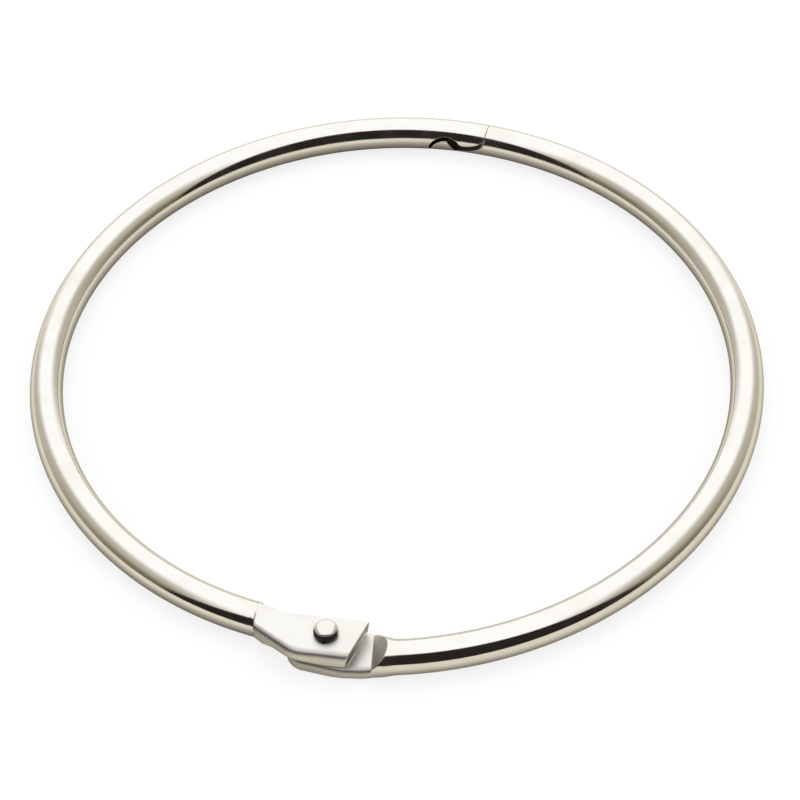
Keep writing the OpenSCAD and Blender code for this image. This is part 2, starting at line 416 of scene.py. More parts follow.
class Shell:
    """Gathers lofted grids and closes them to one mesh."""

    # Points nearer to each other than this, in metres, become one.
    WELD = 2e-6

    def __init__(self, name: str) -> None:
        """Starts an empty mesh of the given name."""
        self.name = name
        self.bm = bmesh.new()
        self.coined = self.bm.verts.layers.float.new(COINED)
        # This layer holds raw cut metal together with painted shade and painted dark reflections.
        self.cut = self.bm.verts.layers.float.new(RAW_CUT_AND_SHADE)

    def _vert(self, point: Array) -> bmesh.types.BMVert:
        """Adds a vertex.

        Args:
            point: Its x, y, z and, where it has them, its satin value and its value for raw cut metal
                and painted shade.

        Returns:
            The vertex.
        """
        vert = self.bm.verts.new(Vector(point[:3]) * MM)
        if len(point) > 3:
            vert[self.coined], vert[self.cut] = point[3:]
        return vert

    def loft(self, rings: list[Array], closed: bool = True) -> None:
        """Adds the skin between rings of points.

        Args:
            rings: Arrays of equal length, in millimetres.
            closed: Whether the last point of a ring joins the first.
        """
        rows = [[self._vert(point) for point in ring] for ring in rings]
        count = len(rows[0])
        for a, b in zip(rows, rows[1:]):
            for k in range(count if closed else count - 1):
                n = (k + 1) % count
                self.bm.faces.new((a[k], a[n], b[n], b[k]))

    def cap(self, ring: Array) -> None:
        """Closes the end of a loft with one flat face over a ring of points."""
        self.bm.faces.new([self._vert(point) for point in ring])

    def absorb(self, mesh: Mesh) -> None:
        """Adds a finished mesh, in metres, and removes it from the file."""
        self.bm.from_mesh(mesh)
        bpy.data.meshes.remove(mesh)

    def finish(self) -> Mesh:
        """Welds the parts, turns the faces outwards and returns the mesh."""
        bmesh.ops.remove_doubles(self.bm, verts=self.bm.verts[:], dist=self.WELD)
        bmesh.ops.dissolve_degenerate(self.bm, edges=self.bm.edges[:], dist=self.WELD / 4)
        loose = [vert for vert in self.bm.verts if not vert.link_faces]
        bmesh.ops.delete(self.bm, geom=loose, context="VERTS")
        bmesh.ops.recalc_face_normals(self.bm, faces=self.bm.faces[:])
        open_edges = sum(1 for edge in self.bm.edges if len(edge.link_faces) != 2)
        LOG.info("%s: %d faces, %d open edges", self.name, len(self.bm.faces), open_edges)
        mesh = bpy.data.meshes.new(self.name)
        self.bm.to_mesh(mesh)
        self.bm.free()
        return mesh


def plan_ring(
    section: Section, frame: RingFrame, x: float, middle: float, skew: float, tilt: float, coined: float
) -> Array:
    """Puts a section across the hinge, where tabs are drawn from the rivet.

    Args:
        section: The section.
        frame: The ring's places.
        x: Distance of the section from the rivet's axis.
        middle: How far outwards from the rivet the section's middle lies.
        skew: How far the section's plane moves along for each millimetre outwards.
        tilt: How far it moves back for each millimetre below the wire's top.
        coined: How far the section's sides show the satin skin that the die leaves.

    Returns:
        An array of shape (points, 5): the place, the satin value and the value for raw cut metal and
            painted shade.
    """
    outward = middle + section.points[:, 0]
    below = frame.wire_r - section.points[:, 1]
    ring = np.zeros((SIDES, 5))
    ring[:, 0] = frame.hinge.x + x + skew * outward - tilt * below
    ring[:, 1] = frame.hinge.y - outward
    ring[:, 2] = section.points[:, 1] + frame.wire_r
    ring[:, 3] = np.maximum(coined, section.painted)
    return ring


def paint_edge_reflection(ring: Array, strength: float) -> None:
    """Paints a dark reflection onto the rounded edge of a ring's outer side, in place.

    Args:
        ring: Points of shape (points, 5).
        strength: How dark the painted reflection is at the middle of the edge.
    """
    first, corner, last = TOP_MARKS
    for k in range(first, last + 1):
        share = 1.0 - abs(k - corner) / (last - corner + 1)
        ring[k, 4] = max(ring[k, 4], strength * share)


@dataclass(frozen=True)
class LatchProfile:
    """Side view of the lap latch: distances along the tongue, heights from the wire's middle."""

    angle: float = math.radians(81.8)
    butt_gap: float = 0.1
    hook_top: float = 1.45
    tongue_top: float = 0.85
    belly: float = 1.6
    belly_crowd: float = 1.5
    belly_steps: int = 24
    flank: float = math.radians(58.0)
    flank_steps: int = 10
    valley_r: float = 0.5
    valley_at: Pair = (3.525, -0.55)
    valley_steps: int = 10
    hook_r: float = 0.75
    hook_at: Pair = (2.7, 0.76)
    hook_steps: int = 20
    nub_r: float = 1.96
    nub_at: Pair = (4.95, -1.5)
    nub_steps: int = 24
    notch_r: float = 2.52
    notch_steps: int = 26
    end_gap: float = 0.1
    edge: float = 0.08
    hook_edge: float = 0.06
    # The near-black paint of a cut face, raw metal in painted shade, sets in over this span, past the
    # butt joint.
    cut_shade_span: Pair = (0.2, 0.5)
    # Past a cut the mesh lines settle, and the sections turn square to the bend, over these runs.
    settle: float = 1.2
    turn_run: float = 2.4

    @staticmethod
    def _arc(centre: Array, radius: float, start: float, end: float, up: float, steps: int) -> Array:
        """Returns points on a circle, by angles from straight up (up 1) or straight down (-1)."""
        turn = np.linspace(start, end, steps + 1)
        return centre + radius * np.column_stack([np.sin(turn), up * np.cos(turn)])

    def _notch(self, start: float) -> Array:
        """Draws the notch's roof, which closes in on the nub towards the nub's end.

        Args:
            start: Angle from straight up, about the nub's centre, at which the roof starts.

        Returns:
            The roof's (distance, height) points.
        """
        turn = np.linspace(start, math.pi / 2, self.notch_steps + 1)
        closed = np.clip(turn / (math.pi / 2), 0.0, 1.0) ** 2
        reach = between(self.notch_r, self.nub_r + self.end_gap, closed)
        return np.array(self.nub_at) + reach[:, None] * np.column_stack([np.sin(turn), np.cos(turn)])

    def _belly(self, start: float, top: float, end: Array) -> Array:
        """Draws a line that falls from a height and levels out.

        Args:
            start: Distance at which the line starts.
            top: Height at distance 0.
            end: Place at which the line is level, which is left out.

        Returns:
            The line's (distance, height) points.
        """
        crowd = (np.arange(self.belly_steps) / self.belly_steps) ** self.belly_crowd
        share = start / end[0] + (1.0 - start / end[0]) * crowd
        drop = (1.0 - (1.0 - share) ** self.belly) ** (1.0 / self.belly)
        return np.column_stack([end[0] * share, top + (end[1] - top) * drop])

    def tongue_line(self) -> Array:
        """Returns the (distance, height) line of the tongue's hollow, valley, flank and nub."""
        valley, nub = np.array(self.valley_at), np.array(self.nub_at)
        ahead = np.array([math.cos(self.flank), math.sin(self.flank)])
        flank_start = valley + self.valley_r * np.array([ahead[1], -ahead[0]])
        away = flank_start - nub
        along = float(away @ ahead)
        rise = math.sqrt(along**2 - float(away @ away) + self.nub_r**2) - along
        flank = rise * np.arange(self.flank_steps)[:, None] / self.flank_steps
        flank_end = flank_start + ahead * rise
        nub_start = math.asin((flank_end[0] - nub[0]) / self.nub_r)
        return np.vstack(
            [
                self._belly(0.0, self.tongue_top, valley - np.array([0.0, self.valley_r])),
                self._arc(valley, self.valley_r, 0.0, self.flank, -1.0, self.valley_steps)[:-1],
                flank_start + flank * ahead,
                self._arc(nub, self.nub_r, nub_start, math.pi / 2, 1.0, self.nub_steps),
            ]
        )

    def catch_line(self) -> Array:
        """Returns the (distance, height) line of the hook's belly and tip and of the notch."""
        tip, nub = np.array(self.hook_at), np.array(self.nub_at)
        apart = float(np.linalg.norm(nub - tip))
        unit = (nub - tip) / apart
        reach = (self.hook_r**2 - self.notch_r**2 + apart**2) / (2 * apart)
        aside = math.sqrt(self.hook_r**2 - reach**2)
        corner = tip + reach * unit + aside * np.array([-unit[1], unit[0]])
        tip_to = math.acos(min(1.0, max(-1.0, (tip[1] - corner[1]) / self.hook_r)))
        return np.vstack(
            [
                self._belly(self.butt_gap, self.hook_top, tip - np.array([0.0, self.hook_r])),
                self._arc(tip, self.hook_r, 0.0, tip_to, -1.0, self.hook_steps)[:-1],
                self._notch(math.asin((corner[0] - nub[0]) / self.notch_r)),
            ]
        )


@dataclass
class WirePiece:
    """Half of the ring: a swept bend with a lofted latch end and a lofted hinge end."""

    frame: RingFrame
    bend: Bend
    latch: LatchProfile
    name: str = ""
    node: str = ""
    body: str = ""
    slot: str = ""
    rings_per_degree: float = 1.4
    end_step: float = 0.25
    run_out_count: int = 0
    # Distances from the rivet at which the plain wire begins, after a lead in which the section
    # takes its shape, and at which its sections stand square to the bend.
    wire_from: float = 0.0
    wire_lead: float = 0.0
    wire_settled: float = 0.0
    bore_sides: int = 96

    def latch_rings(self) -> list[Array]:
        """Returns the sections of the latch end, in order along the wire."""
        raise NotImplementedError

    def hinge_rings(self) -> list[Array]:
        """Returns the sections of the hinge end, in order along the wire."""
        raise NotImplementedError

    def arc_angles(self) -> Pair:
        """Returns the directions, in radians, between which the plain bend is swept."""
        raise NotImplementedError

    def close(self, shell: Shell, latch: list[Array], hinge: list[Array]) -> None:
        """Adds whatever closes the ends of this half's lofts, given their rings."""
        raise NotImplementedError

    def bore(self) -> Mesh:
        """Returns the solid that is drilled out of this half."""
        raise NotImplementedError

    def along(self, x: float) -> float:
        """Returns how far along the bend, from below its centre, a distance from the rivet is."""
        return self.frame.hinge.x + x - self.bend.centre.x

    def torus_ring(self, section: Section, ahead: Vector, along: float, turned: float) -> Array:
        """Returns a section placed on this half's bend, with its cut faces painted near black, as raw
        metal in painted shade.
        """
        place = self.bend.place(section.points, ahead, along, turned)
        return np.column_stack([place, np.zeros(SIDES), section.painted])

    def latch_ring(self, s: float, top: Cut | None = None, low: Cut | None = None) -> Array:
        """Builds a section of the latch, square to the tongue.

        Args:
            s: Its distance along the tongue.
            top: The plane that the metal lies below.
            low: The plane that the metal lies above.

        Returns:
            The section's points.
        """
        section = Section.wire(self.frame.wire_r, top, low)
        ring = self.torus_ring(section, self.frame.latch_ahead, s, 0.0)
        # The latch's cut faces are painted near black, as raw metal in painted shade.
        ring[:, 4] *= ease(s, *self.latch.cut_shade_span)
        return ring

    def run_out(
        self, start: float, way: float, top: Cut | None = None, low: Cut | None = None
    ) -> list[Array]:
        """Goes from the end of a cut to the plain bend.

        Args:
            start: Distance along the tongue at which the cut ends.
            way: 1 to go on along the tongue, -1 to go back.
            top: The cut as it ends, where it is from above.
            low: The same for one from below.

        Returns:
            The sections, whose mesh lines settle while their planes turn square to the bend.
        """
        latch, rings = self.latch, []
        far = latch.turn_run + self.end_step
        for run in np.linspace(0.0, far, self.run_out_count):
            hold = 1.0 - ease(run, 0.0, latch.settle)
            marks = (cut and replace(cut, seat=Seat.MARK, hold=hold) for cut in (top, low))
            turned = 1.0 if run == far else ease(run, self.end_step, latch.turn_run)
            section = Section.wire(self.frame.wire_r, *marks)
            along = start + way * run
            rings.append(self.torus_ring(section, self.frame.latch_ahead, along, turned))
        return rings

    def wire_edges(self, x: float) -> Pair:
        """Returns how far outwards from the rivet the plain wire's two edges lie across x."""
        hinge, wire_r = self.frame.hinge, self.frame.wire_r
        return tuple(hinge.y - self.bend.edge_y(hinge.x + x, side) for side in (wire_r, -wire_r))

    def merged(self, ring: Array, x: float, top: Cut, low: Cut | None = None) -> Array:
        """Draws a hinge section over to the plain bend, as far as x has come to it.

        Args:
            ring: The section's points.
            x: Its distance from the rivet's axis.
            top: Its top cut.
            low: Its low cut.

        Returns:
            The points, unchanged where the plain wire hasn't begun.
        """
        plain = ease(abs(x), self.wire_from - self.wire_lead, self.wire_lead)
        if plain == 0.0:
            return ring
        turned = ease(abs(x), self.wire_from, self.wire_settled - self.wire_from)
        wire = Section.wire(self.frame.wire_r, top, low)
        return between(ring, self.torus_ring(wire, HINGE_AHEAD, self.along(x), turned), plain)

    def build(self, sweep: WireSweep, material: Material) -> Object:
        """Makes this half's object, drilled, shaded and fixed to its body.

        Args:
            sweep: The tree that sweeps plain wire.
            material: The finish.

        Returns:
            The object, which stands for the CAD node.
        """
        start, end = self.arc_angles()
        rings = round(abs(math.degrees(end - start)) * self.rings_per_degree)
        shell = Shell(self.name)
        shell.absorb(sweep.make(self.name, self.bend, start, end, rings))
        latch, hinge = self.latch_rings(), self.hinge_rings()
        shell.loft(latch)
        shell.loft(hinge)
        self.close(shell, latch, hinge)
        piece = link_object(self.name, shell.finish())
        drill(piece, self.bore())
        return dress(piece, material, self.node, self.body)


@dataclass
class TongueHalf(WirePiece):
    """The half that ends in the nubbed tongue, with the lower tab of the hinge."""

    name: str = "tongue_wire_half"
    node: str = "tongue_half"
    body: str = "tongue_side"
    slot: str = "tongue_wire"
    wire_from: float = 8.3
    wire_lead: float = 0.8
    wire_settled: float = 10.4
    run_out_count: int = 13
    # The flat tab: a round nose, then edges through three stations, at the widest place, at the
    # waist and at the ramp's foot, which swell a little on the way.
    offset: float = 0.15
    nose_x: float = -2.05
    nose_r: float = 2.25
    nose_turns: int = 49
    widest_x: float = 2.2
    waist_x: float = 4.2
    outer_edge: Triple = (2.88, 2.7, 2.5)
    inner_edge: Triple = (-2.58, -2.56, -2.55)
    swell: float = 0.07
    tab_run: float = 7.05
    nose_round: float = 0.9
    low_round: float = 1.2
    low_span: Pair = (0.5, 2.0)
    top_round: float = 0.6
    inner_round: float = 0.15
    # How dark the painted reflection on the tab's rounded outer edge is.
    edge_reflection_dark: float = 0.5
    # The shoulder: a ramp up to the round wire, between sides that arch over.
    ramp_foot: float = 5.0
    ramp_slope: float = math.tan(math.radians(48.0))
    ramp_edge: float = 0.1
    ramp_edge_span: Pair = (4.8, 0.5)
    # The ramp's faces get die streaks, and a little painted shade with them.
    ramp_streak_and_shade: float = 0.09
    ramp_skew: float = 0.095
    skew_in_span: Pair = (2.6, 2.0)
    skew_out_span: Pair = (6.0, 2.0)
    satin_span: Pair = (4.7, 0.6)
    side_sink: float = 0.7
    shoulder_run: float = 3.9
    mark_fade: float = 1.2
    # How far before and behind the ramp's foot, and before its top, the sections' spacing changes.
    foot_leads: Triple = (0.3, 0.15, 0.04)
    top_leads: Pair = (0.36, 0.35)
    ring_counts: tuple[int, ...] = (24, 3, 22, 12, 14, 10)
    bore_r: float = 0.95
    mouth_r: float = 1.55
    countersink: float = 0.8

    def latch_rings(self) -> list[Array]:
        """Returns the sections from the plain wire to the tip of the tongue."""
        latch = self.latch
        run_out = self.run_out(0.0, -1.0, top=Cut(latch.tongue_top, latch.edge))
        cuts = [(s, Cut(height, latch.edge)) for s, height in latch.tongue_line()]
        return run_out[::-1] + [self.latch_ring(s, top=cut) for s, cut in cuts]

    def tab_edges(self, x: float) -> Pair:
        """Works out the plan of the flat tab.

        Args:
            x: Distance from the rivet's axis.

        Returns:
            How far outwards its outer and its inner edge lie.
        """
        stations = (self.nose_x, self.widest_x, self.waist_x, self.ramp_foot)
        outer = np.interp(x, stations, (self.offset + self.nose_r, *self.outer_edge))
        inner = np.interp(x, stations, (self.offset - self.nose_r, *self.inner_edge))
        swell = self.swell * math.sin(math.pi * min(1.0, (x - self.nose_x) / self.tab_run))
        return float(outer) + swell, float(inner) - swell

    def profile(self, x: float) -> tuple[Profile, float]:
        """Works out the tab's or the shoulder's outline before the top is cut.

        Args:
            x: Distance from the rivet's axis.

        Returns:
            The outline of both sides, and how far outwards their middle lies.
        """
        wire_r = self.frame.wire_r
        squeeze = 1.0 - ease(x, self.waist_x, self.shoulder_run)
        tab, wire = self.tab_edges(min(x, self.ramp_foot)), self.wire_edges(x)
        outer, inner = (between(wire[k], tab[k], squeeze) for k in (0, 1))
        half_w = (outer - inner) / 2
        low_round = between(self.nose_round, self.low_round, ease(x, *self.low_span))
        side = Profile.slab((half_w, wire_r, 0.0), (half_w, -wire_r, low_round))
        if x > self.ramp_foot:
            oval = Profile.oval(0.0, half_w, wire_r)
            arch = Profile.dome(half_w, wire_r, self.side_sink * squeeze)
            side = side.within(arch).mixed(oval, 1.0 - squeeze)
        return side, (outer + inner) / 2

    def cut_at(self, x: float) -> Cut:
        """Works out the top of the flat tab and its shoulder.

        Args:
            x: Distance from the rivet's axis.

        Returns:
            The plane that the metal lies below.
        """
        height = max(0.0, x - self.ramp_foot) * self.ramp_slope - TAB_GAP / 2
        edge = between(self.top_round, self.ramp_edge, ease(x, *self.ramp_edge_span))
        inner_edge = between(edge, min(edge, self.inner_round), ease(x, self.nose_x))
        return Cut(height, edge, inner_edge=inner_edge)

    def ramp_top(self) -> float:
        """Returns where the shoulder reaches the top of the wire."""
        return self.ramp_foot + (self.frame.wire_r + TAB_GAP / 2) / self.ramp_slope

    def hinge_stations(self) -> Array:
        """Returns the places of the sections, from the tab's round end to the plain wire."""
        foot, top = self.ramp_foot, self.ramp_top()
        before, near, behind = self.foot_leads
        tab, bend, ramp, crest, shoulder, wire = self.ring_counts
        return np.concatenate(
            [
                np.linspace(self.nose_x, foot - before, tab),
                np.linspace(foot - near, foot, bend),
                np.linspace(foot + behind, top - self.top_leads[0], ramp),
                top - self.top_leads[1] * np.linspace(1.0, 0.0, crest)[:-1] ** 2,
                np.linspace(top, self.wire_from, shoulder),
                np.linspace(self.wire_from, self.wire_settled, wire)[1:],
            ]
        )

    def hinge_ring(self, x: float) -> Array:
        """Builds one section of the hinge end.

        Args:
            x: Distance from the rivet's axis.

        Returns:
            An array of points.
        """
        side, middle = self.profile(x)
        ramp_top = self.ramp_top()
        cut = self.cut_at(min(x, ramp_top))
        if x >= ramp_top:
            hold = 1.0 - ease(x, ramp_top, self.mark_fade)
            cut = Cut(self.frame.wire_r, cut.edge, Seat.MARK, hold)
        skew = self.ramp_skew * ease(x, *self.skew_in_span) * (1.0 - ease(x, *self.skew_out_span))
        satin = 1.0 - ease(x, *self.satin_span)
        section = Section(side, side, cut)
        ring = plan_ring(section, self.frame, x, middle, skew, 0.0, satin)
        # The ramp gets die streaks and a little painted shade; the flat tab gets a painted dark
        # reflection on its rounded outer edge.
        if x > self.ramp_foot:
            ring[:, 4] = self.ramp_streak_and_shade * section.painted
        else:
            paint_edge_reflection(ring, self.edge_reflection_dark)
        return self.merged(ring, x, cut)

    def hinge_rings(self) -> list[Array]:
        """Returns the sections from the tab's round end to the plain wire."""
        return [self.hinge_ring(x) for x in self.hinge_stations()]

    def arc_angles(self) -> Pair:
        """Returns the directions between which the plain bend is swept."""
        start = self.bend.angle(HINGE_AHEAD, self.along(self.wire_settled))
        return start, self.bend.angle(self.frame.latch_ahead, -self.latch.turn_run - self.end_step)

    def close(self, shell: Shell, latch: list[Array], hinge: list[Array]) -> None:
        """Caps the tongue and turns the tab's round end about its centre.

        Args:
            shell: The mesh that both are added to.
            latch: The latch end's sections.
            hinge: The hinge end's sections.
        """
        shell.cap(latch[-1])
        half = hinge[0][: HALF + 1]
        centre_x = self.frame.hinge.x + self.nose_x
        centre_y = self.frame.hinge.y - self.offset
        across = half[:, 1] - centre_y
        fan = []
        for turn in np.linspace(0.0, math.pi, self.nose_turns):
            ring = half.copy()
            ring[:, 0] = centre_x + across * math.sin(turn)
            ring[:, 1] = centre_y + across * math.cos(turn)
            fan.append(ring)
        shell.loft(fan, closed=False)

    def bore(self) -> Mesh:
        """Returns the bore with its countersink."""
        high = 2 * self.frame.wire_r
        profile = [
            (0.0, -1.0),
            (self.mouth_r, -1.0),
            (self.mouth_r, 0.0),
            (self.bore_r, self.countersink),
            (self.bore_r, high),
            (0.0, high),
        ]
        return lathe("rivet_seat", profile, self.frame.hinge, self.bore_sides)


@dataclass
class CatchHalf(WirePiece):
    """The half that ends in the hook, with the upper tab of the hinge and its stepped neck."""

    name: str = "catch_wire_half"
    node: str = "catch_half"
    body: str = "catch_side"
    slot: str = "catch_wire"
    wire_from: float = 9.7
    wire_lead: float = 0.6
    wire_settled: float = 12.0
    run_out_count: int = 14
    # The plan: a straight tab, whose edges bend to the neck at a corner each.
    half_w: float = 2.6
    corner_x: float = 3.25
    bend_r: float = 4.0
    neck_slope: float = math.tan(math.radians(31.0))
    inner_corner_x: float = 5.09
    inner_bend_r: float = 2.0
    inner_slope: float = math.tan(math.radians(20.5))
    # Where the round wire flares to the neck, with a lip that grows to an upright wall.
    flat_start: float = 7.9
    flare_run: float = 0.22
    lead_round: float = 0.35
    lip_low: float = -0.12
    lip_round: float = 0.3
    fade_lead: float = 0.1
    wire_fade: float = 1.1
    satin_run: float = 0.12
    # The underside, which rises from the wire's bottom to the tab's.
    undercut_foot: float = 6.7
    undercut_slope: float = math.tan(math.radians(48.0))
    undercut_edge: float = 0.1
    mark_fades: Pair = (1.1, 1.3)
    top_round: float = 0.65
    inner_round: float = 0.15
    neck_round: float = 0.75
    neck_round_run: float = 1.2
    low_round: float = 0.2
    low_round_run: float = 4.0
    # How dark the painted reflection on the rounded outer edge is, on the neck and on the tab, and over
    # which span it changes between them.
    edge_reflection_dark: float = 0.8
    tab_edge_reflection_dark: float = 0.5
    edge_reflection_span: Pair = (-4.25, 1.5)
    # The tab's end, which slants on the plan and leans back.
    lean_from: float = 1.3
    end_x: float = 3.6
    end_slant: float = math.tan(math.radians(17.0))
    end_tilt: float = math.tan(math.radians(9.0))
    end_edge: float = 0.2
    # The end's painted shade fades out over this distance towards the ring's centre.
    end_shade_fade: float = 2.0
    end_steps: int = 4
    # Sections stand closer together over this first stretch of the undercut.
    onset_run: float = 0.3
    before_counts: tuple[int, ...] = (10, 8, 9, 4, 7)
    after_counts: tuple[int, ...] = (14, 36, 24)
    mid_tab: float = -1.0
    bore_r: float = 0.9

    def latch_rings(self) -> list[Array]:
        """Returns the sections from the hook's butt face to the plain wire."""
        latch, line = self.latch, self.latch.catch_line()
        rings = [self.latch_ring(s, low=Cut(height, latch.hook_edge)) for s, height in line]
        wall_x, wall_z = line[-1]
        return rings + self.run_out(wall_x, 1.0, low=Cut(wall_z, latch.hook_edge))

    @staticmethod
    def _bent(x: float, corner: float, level: float, slope: float, radius: float) -> float:
        """Follows a line that is level past a corner and slopes before it, with a round bend.

        Args:
            x: Where to read the line.
            corner: Where the two straight stretches would meet.
            level: Height of the level stretch.
            slope: Slope of the other one.
            radius: Radius of the bend.

        Returns:
            The line's height at x.
        """
        turn = math.atan(slope)
        tangent = radius * math.tan(turn / 2)
        if x >= corner + tangent:
            return level
        if x <= corner - tangent * math.cos(turn):
            return level + (x - corner) * slope
        return level - radius + math.sqrt(radius**2 - (x - corner - tangent) ** 2)

    def edges(self, x: float) -> Pair:
        """Returns how far outwards the tab's outer and inner edge lie across x."""
        return (
            self._bent(x, -self.corner_x, self.half_w, self.neck_slope, self.bend_r),
            self._bent(x, -self.inner_corner_x, -self.half_w, self.inner_slope, self.inner_bend_r),
        )

    def profiles(self, x: float) -> tuple[Profile, Profile, float]:
        """Works out the outlines of the neck and the tab before they are cut.

        Args:
            x: Distance from the rivet's axis, negative towards the neck.

        Returns:
            The outer and the inner side, and how far outwards their middle lies.
        """
        wire_r = self.frame.wire_r
        flat = ease(x, -self.flat_start - self.flare_run, self.flare_run)
        gone = ease(x, self.fade_lead - self.flat_start, self.wire_fade)
        corner = self.lead_round if x < -self.flat_start else 0.0
        edges, wire = self.edges(x), self.wire_edges(x)
        wire_middle, wire_w = sum(wire) / 2, (wire[0] - wire[1]) / 2
        middle = between(wire_middle, sum(edges) / 2, flat)
        sides = []
        for edge, sign in zip(edges, (1.0, -1.0)):
            plain = Profile.oval(sign * (wire_middle - middle), wire_w, wire_r)
            reach = sign * (edge - middle)
            lip = Profile.slab((reach, wire_r, corner), (reach, self.lip_low, self.lip_round))
            wall = Profile.slab((reach, wire_r, corner), (reach, -wire_r, 0.0))
            sides.append(plain.mixed(plain.joined(lip).mixed(wall, gone), flat))
        return sides[0], sides[1], middle

    def onset(self) -> float:
        """Returns where the undercut leaves the bottom of the wire."""
        return -self.undercut_foot - (self.frame.wire_r + TAB_GAP / 2) / self.undercut_slope

    def cuts(self, x: float, stepped: bool) -> tuple[Cut, Cut]:
        """Returns the planes above and below the metal across x.

        Args:
            x: Distance from the rivet's axis, negative towards the neck.
            stepped: Whether the flat top face has begun, where x is its start.

        Returns:
            The top cut and the low cut.
        """
        wire_r = self.frame.wire_r
        top_fade, low_fade = self.mark_fades
        seat = Seat.PLANE if stepped else Seat.MARK
        hold = 1.0 - ease(-x, self.flat_start, top_fade)
        top = Cut(wire_r - TOP_STEP, self.top_round, seat, hold, self.inner_round)
        low_z = TAB_GAP / 2 - max(0.0, -self.undercut_foot - x) * self.undercut_slope
        on_neck = ease(x, -self.undercut_foot, self.neck_round_run)
        edge = between(self.undercut_edge, self.neck_round, on_neck)
        edge = between(edge, self.low_round, ease(x, -self.corner_x, self.low_round_run))
        if low_z > -wire_r:
            return top, Cut(low_z, edge)
        return top, Cut(-wire_r, edge, Seat.MARK, 1.0 - ease(-x, -self.onset(), low_fade))

    def hinge_ring(self, x: float, stepped: bool, inset: float = 0.0) -> Array:
        """Builds one section of the hinge end.

        Args:
            x: Distance from the rivet's axis.
            stepped: Whether the flat top face has begun.
            inset: How far the section is drawn inwards, for a rounded end.

        Returns:
            An array of points.
        """
        outer, inner, middle = self.profiles(x)
        top, low = self.cuts(x, stepped)
        if inset:
            outer, inner = outer.inset(inset), inner.inset(inset)
            top = replace(top, height=top.height - inset)
            low = replace(low, height=low.height + inset)
        lean = ease(x, self.lean_from, self.end_x - self.lean_from)
        skew, tilt = -self.end_slant * lean, self.end_tilt * lean
        satin = ease(x, -self.flat_start - self.satin_run, self.satin_run)
        section = Section(outer, inner, top, low)
        ring = plan_ring(section, self.frame, x, middle, skew, tilt, satin)
        # The stepped tab and its neck get a painted dark reflection on their rounded outer edge.
        if stepped and not inset:
            paint_edge_reflection(ring, between(self.edge_reflection_dark, self.tab_edge_reflection_dark, ease(x, *self.edge_reflection_span)))
        return self.merged(ring, x, top, low)

    def end_ring(self, turn: float) -> Array:
        """Builds a section of the tab's rounded end, with painted shade on its outward stretch.

        Args:
            turn: How far, in radians, the rounding has turned in from the tab's skin.

        Returns:
            An array of points.
        """
        x = self.end_x - self.end_edge * (1.0 - math.sin(turn))
        ring = self.hinge_ring(x, True, self.end_edge * (1.0 - math.cos(turn)))
        outward = self.frame.hinge.y - ring[:, 1]
        # The end face is painted dark as shade, on its outward stretch only.
        painted_shade = np.clip((outward + self.end_shade_fade) / self.end_shade_fade, 0.0, 1.0)
        ring[:, 4] = painted_shade * ease(4.0 * math.sin(turn) - 3.0)
        return ring

    def hinge_rings(self) -> list[Array]:
        """Returns the sections from the plain wire to the tab's slanted end."""
        onset, flat, foot = self.onset(), -self.flat_start, -self.undercut_foot
        wire, neck, crowd, rest, flare = self.before_counts
        before = [
            np.linspace(-self.wire_settled, -self.wire_from, wire)[:-1],
            np.linspace(-self.wire_from, onset, neck)[:-1],
            onset + self.onset_run * np.linspace(0.0, 1.0, crowd) ** 2,
            np.linspace(onset + self.onset_run, flat - self.flare_run, rest)[1:],
            np.linspace(flat - self.flare_run, flat, flare)[1:],
        ]
        undercut, tab, end = self.after_counts
        after = [
            np.linspace(flat, foot, undercut),
            np.linspace(foot, self.mid_tab, tab)[1:],
            np.linspace(self.mid_tab, self.end_x - self.end_edge, end)[1:],
        ]
        rings = [self.hinge_ring(x, False) for x in np.concatenate(before)]
        rings += [self.hinge_ring(x, True) for x in np.concatenate(after)]
        turns = np.linspace(0.0, math.pi / 2, self.end_steps + 1)[1:]
        return rings + [self.end_ring(turn) for turn in turns]

    def arc_angles(self) -> Pair:
        """Returns the directions between which the plain bend is swept."""
        start = self.latch.catch_line()[-1][0] + self.latch.turn_run + self.end_step
        end = self.bend.angle(HINGE_AHEAD, self.along(-self.wire_settled)) + math.tau
        return self.bend.angle(self.frame.latch_ahead, start), end

    def close(self, shell: Shell, latch: list[Array], hinge: list[Array]) -> None:
        """Caps the hook's butt face and the tab's slanted end."""
        shell.cap(latch[0])
        shell.cap(hinge[-1])

    def bore(self) -> Mesh:
        """Returns the bore of the rivet's shank."""
        high = 3 * self.frame.wire_r
        profile = [(0.0, 0.0), (self.bore_r, 0.0), (self.bore_r, high), (0.0, high)]
        return lathe("rivet_bore", profile, self.frame.hinge, self.bore_sides)


